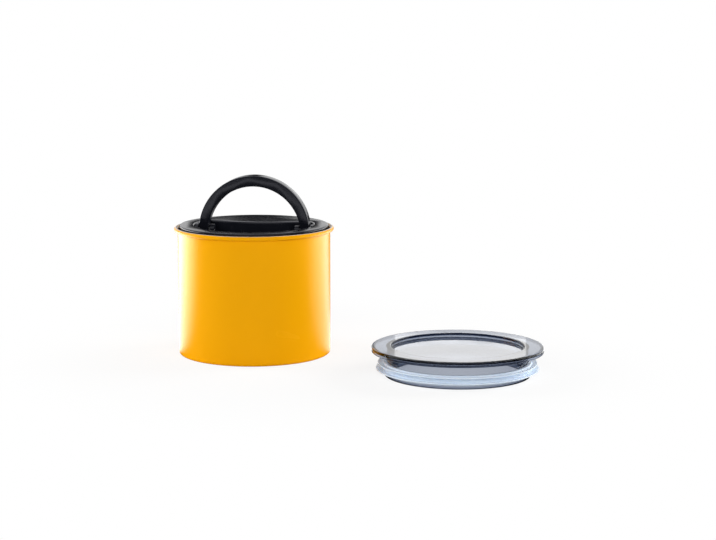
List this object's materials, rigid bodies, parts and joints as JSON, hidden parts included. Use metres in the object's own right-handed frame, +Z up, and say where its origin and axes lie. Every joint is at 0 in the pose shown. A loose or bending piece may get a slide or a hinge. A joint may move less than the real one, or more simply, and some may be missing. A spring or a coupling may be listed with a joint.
{
  "type": "coffee canister with valve",
  "caption": "Round steel canister with a plunging inner lid whose folding handle works an air valve, and a clear outer lid beside it.",
  "frame": {"origin": "centre of the canister's foot ring, on the surface that it stands on", "axes": "+Z up through the mouth, X parallel to the handle's hinge axis, -Y the side that the handle folds down to, which is the pictured front to within seven degrees"},
  "size_m": [0.2957, 0.1941, 0.1419],
  "materials": {
    "painted_steel": "amber satin enamel on drawn steel, bare steel inside",
    "black_moulding": "semi-gloss black moulded plastic",
    "seal_silicone": "translucent white-blue silicone",
    "bare_steel": "bright turned steel",
    "clear_moulding": "clear plastic with a light smoke tint"
  },
  "bodies": {
    "canister": {"canister_body": "painted_steel"},
    "inner_lid": {"inner_lid_deck": "black_moulding", "inner_lid_pan": "black_moulding", "wiper_seal": "seal_silicone", "pan_screws": "bare_steel", "hinge_pin_left": "bare_steel", "hinge_pin_right": "bare_steel", "valve_spring": "bare_steel"},
    "handle": {"handle": "black_moulding"},
    "valve": {"valve_yoke": "black_moulding", "valve_stem": "bare_steel", "valve_plate": "black_moulding", "valve_gasket": "seal_silicone", "stem_nut": "bare_steel"},
    "outer_lid": {"outer_lid_shell": "clear_moulding", "outer_lid_seal": "seal_silicone"}
  },
  "joints": [
    {"name": "inner_lid_plunge", "type": "slide", "parent": "canister", "child": "inner_lid", "axis": [0, 0, 1], "range_m": [-0.063, 0.09]},
    {"name": "handle_fold", "type": "hinge", "parent": "inner_lid", "child": "handle", "pos_m": [0, 0.004, 0.0974], "axis": [1, 0, 0], "range_deg": [0, 90]},
    {"name": "valve_lift", "type": "slide", "parent": "inner_lid", "child": "valve", "axis": [0, 0, 1], "range_m": [0, 0.0026], "deforming": ["valve_spring"]},
    {"name": "outer_lid_lift", "type": "slide", "parent": "canister", "child": "outer_lid", "axis": [0, 0, 1], "range_m": [0, 0.08]}
  ],
  "couplings": [
    {"joint": "valve_lift", "follows": "handle_fold", "m_per_rad": 0.0015915}
  ]
}
